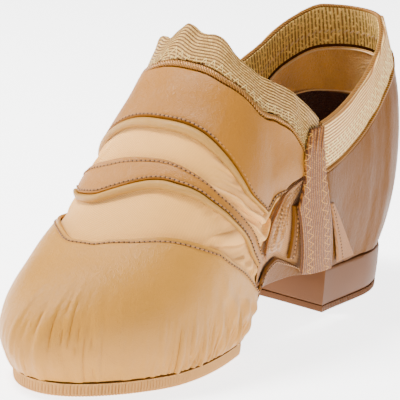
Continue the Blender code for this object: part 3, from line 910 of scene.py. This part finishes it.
def build_toe():
    foot = SOLE_THICKNESS + REST_GAP + .0016
    points = toe_points(401, 120, 0, foot)
    t, s = grids(points.shape[:2])
    low = fade(s, .38, .78) * (fade(t, -.30, .05) * (1 - fade(t, .86, .98)) + .12)
    gather = folds(t.shape, ((.4, 21, 1.5), (.5, 33, -2), (.45, 47, 1), (.3, 63, -1)), 3)
    patch = .55 + .45 * folds(t.shape, ((.6, 3.2, 1.2), (.5, 5.1, -2)), 5)
    crease = .00042 * gather - .00080 * np.exp(-(gather / .30) ** 2)
    relief = low * np.clip(patch, .2, 1.2) * crease
    relief = relief + .00035 * folds(t.shape, ((.6, 2.4, 1.3), (.5, 3.6, -1.7)), 9) * fade(s, .08, .3)
    side = fade(t, .45, .75) * fade(s, .15, .4) * (1 - fade(s, .8, 1))
    relief = relief + .00080 * side * folds(t.shape, ((.6, 13, -3), (.5, 19, 2)), 11)
    relief = relief + groove(points, .0018)
    cover(FRONT, "toe_leather", "toe_vamp", "toe_vamp_leather", points, LEATHER_AT, LEATHER, TOE,
          relief)
    stitch("toe_vamp_stitches", points, row_at(points, .0018), LEATHER_FACE, FRONT,
           "toe_leather")
    cover(FRONT, "lining", "toe_lining", "toe_lining_cloth",
          toe_points(121, 40, .0006, foot - .001), LINING_AT, FABRIC, LINING)


def build_insert(word, rear, front, lap, gathered, depth, pleats, swell, seeds):
    """Stretch cloth between two leather edges, flat on top and pleated toward its ends."""
    points = band_points(rear, front, WIDE, 44, -SEAM_LAP, lap)
    t, s = grids(points.shape[:2])
    far = fade(np.abs(t), *gathered) * np.sin(np.pi * np.clip(s, 0, 1)) ** .6
    pleat = folds(t.shape, pleats, seeds[0])
    relief = far * (.0006 + depth * pleat - .0010 * np.exp(-(pleat / .28) ** 2))
    relief = relief + .0004 * np.sin(np.pi * s) * folds(t.shape, (swell,), seeds[1])
    cover(FRONT, "stretch_twill", word + "_stretch_insert", word + "_insert_cloth", points,
          INSERT_AT, FABRIC, TWILL, relief)


def build_lip(name, edge, node):
    points = band_points(edge, edge, WIDE, 16, -LIP_WIDTH, 0)
    cover(FRONT, "toe_leather", node, name, points, LEATHER_AT, LIP, LIPS, soft=.0019)


def build_bands():
    build_insert("lower", MID_LOWER, TOE_EDGE, SEAM_LAP, (.42, .80), .0010,
                 ((.7, 9.5, 1.6), (.5, 15, 2.2), (.25, 27, 3)), (.6, 2.1, .6), (21, 4))
    build_lip("mid_band_rolled_lip", MID_LOWER, "mid_band_lip")

    points = band_points(MID_UPPER, MID_LOWER, WIDE, 30, 0, -LIP_WIDTH - GAP * .4)
    relief = groove(points, .0017) + groove(points, -.0010)
    cover(FRONT, "band_leather", "mid_band", "mid_band_leather", points, LEATHER_AT, BAND_LEATHER,
          BAND, relief)
    for name, distance in (("upper", .0017), ("lower", -.0010)):
        stitch("mid_band_stitches_" + name, points, row_at(points, distance),
               LEATHER_AT + BAND_LEATHER, FRONT, "band_leather")

    build_insert("upper", INSTEP_LOWER, MID_UPPER, SEAM_LAP * .5, (.30, .70), .0011,
                 ((.7, 5.5, 3.4), (.55, 9, 5.2), (.3, 17, 4)), (.6, 2.5, .8), (33, 6))
    build_lip("instep_rolled_lip", INSTEP_LOWER, "instep_lip")

    points = band_points(PIPING_LINE, INSTEP_LOWER, WIDE, 50, GAP * .3, -LIP_WIDTH - GAP * .4)
    t, s = grids(points.shape[:2])
    relief = groove(points, -.0010) + .00045 * folds(t.shape, ((.6, 2.2, 1.4), (.4, 3.8, -1)), 41)
    cover(FRONT, "band_leather", "instep_panel", "instep_panel_leather", points, LEATHER_AT,
          BAND_LEATHER, PANEL, relief)
    stitch("instep_panel_stitches", points, row_at(points, -.0010), LEATHER_AT + BAND_LEATHER,
           FRONT, "band_leather")

    cover(FRONT, "lining", "vamp_lining", "vamp_lining_cloth",
          band_points(THROAT, TOE_EDGE, 141, 70, .003, -.001), LINING_AT, FABRIC, LINING)


def build_instep_elastic():
    t = np.linspace(-1, 1, 281)[None, :]
    s = np.linspace(0, 1, 44)[:, None]
    peaks = np.zeros_like(t)
    for at, size, wide in ((-.62, .7, .10), (-.38, 1.0, .09), (-.14, 1.0, .10), (.12, .55, .13)):
        peaks = peaks + size * np.exp(-((t - at) / wide) ** 2)
    rear_f, rear_a = edge_at(THROAT, t)
    front_f, front_a = edge_at(PIPING_LINE, t)
    taper = 1 - .8 * np.abs(t) ** 3
    rear_f = rear_f - .0030 * (peaks - .4) * fade(1 - np.abs(t), .1, .4) / LENGTH
    front_f = front_f - (PIPING + GAP * .4) * taper / LENGTH
    points = on_section(rear_f + (front_f - rear_f) * s, rear_a + (front_a - rear_a) * s)
    t, s = grids(points.shape[:2])
    top = (1 - s) ** 1.3 * fade(1 - np.abs(t), .05, .3)
    relief = top * (.0022 * (peaks - .35)) * fade(.45 - t, 0, .3)
    relief = relief + .0005 * (1 - s) * folds(t.shape, ((.6, 12, 1), (.4, 19, -1)), 51)
    cover("both", "woven_elastic", "instep_elastic", "instep_elastic_web", points, LEATHER_AT,
          ELASTIC, ELASTIC_GOLD, relief)
    points = band_points(PIPING_LINE, PIPING_LINE, WIDE, 7, -PIPING, 0)
    cover(FRONT, "gold_cord", "instep_piping", "instep_gold_piping", points, LEATHER_AT, PIPING,
          GOLD, soft=.0008)


def build_front_sole():
    ground = SOLE_THICKNESS + REST_GAP
    outline = plan_outline(.76, ground + .0005, SOLE_REAR, 2.0, LEATHER_FACE, 1500)
    rib = .00075
    high = SOLE_THICKNESS
    levels = ((0, .0012, rib), (.0005, .0003, rib), (high * .35, .0001, rib),
              (high * .82, 0, rib), (high * .90, .0001, rib * .4), (high, .0002, 0))
    sole = prism("forefoot_outsole_rubber", outline, levels, TREAD, .00125)
    put(sole, FRONT, "tread_rubber", "forefoot_outsole")


# ---- heel unit --------------------------------------------------------------------------
def build_heel_unit():
    floor = HEEL_HEIGHT + REST_GAP
    outline = plan_outline(.16, floor + .0005, -.1, BREAST, LEATHER_FACE + .0004, 900)
    high = HEEL_HEIGHT
    block = prism("heel_block_rubber", outline, ((TOP_PIECE, .0009, 0), (TOP_PIECE + .0012, .0002, 0),
                  (high * .6, -.0001, 0), (high - .0012, 0, 0), (high - .0003, .0003, 0),
                  (high, .0008, 0)), RUBBER)
    put(block, REAR, "heel_rubber", "heel_block")
    tread = prism("heel_top_piece_rubber", outline, ((0, .0009, .0005), (.0004, .0003, .0005),
                  (TOP_PIECE * .8, .0002, .0005), (TOP_PIECE - REST_GAP, .0004, .0003)),
                  RUBBER, .0013)
    put(tread, REAR, "heel_rubber", "heel_top_piece")
    points = heel_points(281, 90, 0, below(WEB_FOOT, .027))
    t, s = grids(points.shape[:2])
    relief = .0004 * folds(t.shape, ((.6, 3.2, .5), (.5, 5.4, -.8), (.2, 17, .4)), 61)
    relief = relief - .00035 * fade(s, .80, 1)
    cover(REAR, "quarter_leather", "heel_quarter", "heel_quarter_leather", points, LEATHER_AT,
          LEATHER, QUARTER, relief)
    # painted shade: the dark lining fills the inside of the mouth below the grip
    cover(REAR, "lining", "quarter_lining", "quarter_lining_cloth",
          heel_points(161, 40, .005, .46), LINING_AT, FABRIC, LINING)
    points = heel_points(201, 40, .462, below(WEB_FOOT, .050))
    cover(REAR, "suede", "heel_grip", "heel_grip_suede", points, LINING_AT, FABRIC, SUEDE)
    grid, normal, _ = outward_grid(points)
    for row, word in ((-2, "upper"), (row_at(points, .0135), "lower")):
        path = grid[row] + normal[row] * (LINING_AT - .0001)
        put(tube("heel_grip_edge_" + word, path, .00032, PALE_YARN), REAR, "suede")
    points = heel_points(281, 26, below(WEB_FOOT, .040), .998)
    cover(REAR, "ribbed_lining", "collar_lining", "collar_lining_web", points, INSERT_AT - .0004,
          FABRIC, RIBBED)
    grid, normal, _ = outward_grid(points)
    row = 9
    line = thread("collar_lining_stitches", grid[row] + normal[row] * (INSERT_AT - .0004),
                  -normal[row], PALE_YARN, pitch=.0026, slant=38, long=.0029)
    put(line, REAR, "ribbed_lining")
    points = heel_points(281, 7, below(WEB_FOOT, .025), below(WEB_FOOT, .005))
    cover(REAR, "gold_cord", "collar_piping", "collar_gold_piping", points, LEATHER_AT, PIPING,
          GOLD, soft=.0008)
    points = heel_points(281, 40, below(WEB_FOOT, .002), 1.0)
    t, s = grids(points.shape[:2])
    relief = .0003 * folds(t.shape, ((.6, 9, .5), (.5, 15, -.8)), 71)
    cover(REAR, "woven_elastic", "collar_elastic", "collar_elastic_web", points, LEATHER_AT,
          ELASTIC, ELASTIC_BACK, relief)
    grid, normal, _ = outward_grid(points)
    path = grid[-1] + normal[-1] * (INSERT_AT + .0008) + np.array([0, 0, .0001])
    put(tube("collar_rim_binding", path, .00085, GOLD), REAR, "gold_cord")


# ---- side pieces, crossing the arch --------------------------------------------------------
def build_side(side, word):
    paths = side_paths()

    def patch(name, columns, rows):
        return side_points(paths[name], side, columns, rows)

    base = patch("mesh_gusset", 60, 90)
    cover("both", "mesh", "mesh_gusset_" + word, "gusset_cloth_" + word, base, INSERT_AT, MESH,
          BACKING)

    points = patch("mesh_flap", 50, 60)
    t, s = grids(points.shape[:2])
    relief = .0006 * np.sin(np.pi * s) * folds(t.shape, ((.7, 3, 2), (.4, 6, -3)), 81)
    cover("both", "mesh", "mesh_flap_" + word, "flap_net_" + word, points, LEATHER_AT, MESH * .6,
          NET, relief + .0003)
    grid, normal, _ = outward_grid(points)
    near = 0 if grid[10, 0, 0] > grid[10, -1, 0] else -1
    path = grid[:, near] + normal[:, near] * (LEATHER_AT + .0008)
    put(tube("flap_binding_" + word, path, .00045, TAPE), "both", "mesh")

    points = patch("arch_trim", 60, 36)
    cover("both", "quarter_leather", "arch_trim_" + word, "arch_trim_leather_" + word, points,
          LEATHER_AT, LEATHER, QUARTER, groove(points, .0014))
    stitch("arch_trim_stitches_" + word, points, row_at(points, .0014), LEATHER_FACE,
           "both", "quarter_leather")

    points = patch("strap_binding", 12, 60)
    cover("both", "quarter_leather", "strap_binding_" + word, "strap_binding_leather_" + word,
          points, LEATHER_AT, LEATHER, QUARTER)
    middle = np.swapaxes(points, 0, 1)
    stitch("strap_binding_stitches_" + word, middle, 6, LEATHER_FACE, "both",
           "quarter_leather", pitch=.0020)

    points = patch("rear_tape", 20, 70)
    cover(REAR, "tape", "rear_tape_" + word, "rear_tape_cloth_" + word, points, STRAP_AT, FABRIC,
          TAPE, upright=True)
    middle = np.swapaxes(points, 0, 1)
    stitch("rear_tape_stitches_" + word, middle, 6, STRAP_AT + FABRIC, REAR, "tape", pitch=.0022)

    rising = strip(((.437, .675), STRAP_NECK * .80), ((.440, .615), STRAP_NECK * .95))
    paths["side_strap"] = rising + paths["side_strap"]
    points = patch("side_strap", 40, 140)
    t, s = grids(points.shape[:2])
    relief = .0004 * np.exp(-((s - .12) / .15) ** 2) * np.cos(3 * np.pi * t)
    cover("both", "strap_elastic", "side_strap_" + word, "side_strap_web_" + word, points,
          STRAP_AT, ELASTIC, STRAP, relief, upright=True)


def build_arch():
    up = np.array([0.0, 0.0, 1.0])
    edge = SOLE_REAR - .012
    cover("both", "quarter_leather", "arch_panel", "arch_panel_leather",
          arch_points(.3155, edge, .0010, 50, 60), REST_GAP, LEATHER, QUARTER, outward=up)
    cover("both", "lining", "arch_sock", "arch_sock_cloth",
          arch_points(.3195, edge, .0034, 50, 60), REST_GAP * 2 + LEATHER, FABRIC, LINING,
          outward=up)


def dress_hidden():
    """Inner pieces that keep their plain shape."""
    for node, material in (("heel_insole_board", BOARD), ("forefoot_insole_board", BOARD),
                           ("heel_sock", LINING), ("forefoot_sock", LINING),
                           ("heel_counter", BOARD)):
        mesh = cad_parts[node].data
        mesh.materials.clear()
        mesh.materials.append(material)


# ---- floor, light, camera ---------------------------------------------------------------------
WORLD_LIGHT = .32
FLOOR_GLOW = 3.4            # keeps the pale floor even behind the shoe


def area_light(name, place, target, size, power):
    light = bpy.data.lights.new(name, "AREA")
    light.shape = "DISK"
    light.size = size
    light.energy = power
    obj = link(name, light)
    obj.location = place
    obj.rotation_euler = (Vector(target) - Vector(place)).to_track_quat("-Z", "Y").to_euler()


def set_stage():
    bpy.ops.mesh.primitive_plane_add(size=6, location=(0, 0, 0))
    floor = bpy.context.object
    floor.name = "floor"
    sweep = Nodes("floor_white")
    sweep.shader.inputs["Emission Color"].default_value = (1, 1, 1, 1)
    sweep.shader.inputs["Emission Strength"].default_value = FLOOR_GLOW
    floor.data.materials.append(sweep.finish((.92, .92, .92), .9))
    world = bpy.data.worlds.new("studio")
    world.use_nodes = True
    sky = world.node_tree.nodes["Background"]
    sky.inputs[0].default_value = (1, 1, 1, 1)
    sky.inputs[1].default_value = WORLD_LIGHT
    bpy.context.scene.world = world
    target = (.08, 0, .04)
    area_light("key", (.30, -.30, .90), target, .30, 21)
    area_light("side", (.35, -.95, .35), target, .35, 12)
    area_light("fill", (.75, .75, .45), target, .8, 2.2)
    area_light("back", (-.6, .3, .8), target, .6, 6)


def set_camera():
    """A long lens low in front of the shoe's outer side, tipped a little."""
    eye = Vector((.7540, .4503, .2736))
    yaw, pitch, roll = 3.7419, -.2728, .0752
    ahead = Vector((np.cos(pitch) * np.cos(yaw), np.cos(pitch) * np.sin(yaw), np.sin(pitch)))
    right = ahead.cross(Vector((0, 0, 1))).normalized()
    up = right.cross(ahead)
    tilted = right * np.cos(roll) + up * np.sin(roll)
    upright = up * np.cos(roll) - right * np.sin(roll)
    matrix = Matrix((tilted, upright, -ahead)).transposed().to_4x4()
    matrix.translation = eye
    data = bpy.data.cameras.new("photo_view")
    data.sensor_width = 36
    data.lens = 200.4
    data.shift_x = .0365
    data.shift_y = .0092
    camera = link("photo_view", data)
    camera.matrix_world = matrix
    bpy.context.scene.camera = camera


build_toe()
build_bands()
build_instep_elastic()
build_front_sole()
build_heel_unit()
for across, outer_word in ((1, "lateral"), (-1, "medial")):
    build_side(across, outer_word)
build_arch()
dress_hidden()
set_stage()
set_camera()
